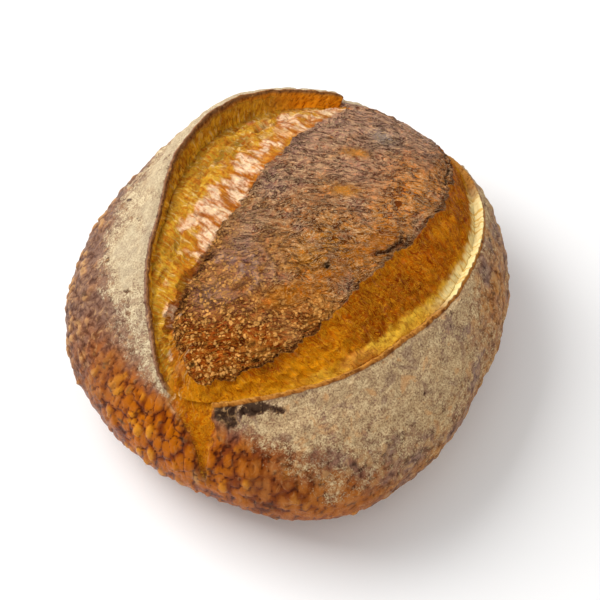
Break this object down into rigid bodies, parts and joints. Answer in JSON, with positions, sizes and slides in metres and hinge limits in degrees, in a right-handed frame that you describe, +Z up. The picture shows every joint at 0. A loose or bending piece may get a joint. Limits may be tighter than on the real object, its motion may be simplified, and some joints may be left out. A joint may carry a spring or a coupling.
{
  "type": "sourdough loaf",
  "caption": "Round crusty bread loaf with two curved scores, a lifted crust ear and a flat foot; a food prop that stands on any surface.",
  "frame": {"origin": "centre of the flat foot's bounding box, on the surface the loaf stands on", "axes": "+X along the scores, from the point where they nearly meet to their open end; +Y to the side of the lifted ear; +Z up"},
  "size_m": [0.238, 0.2252, 0.108],
  "materials": {
    "crust": "baked crust: mottled caramel brown with pale flour, satin blisters and golden torn dough in the scores"
  },
  "bodies": {
    "root": {"sourdough_loaf": "crust"}
  },
  "joints": []
}
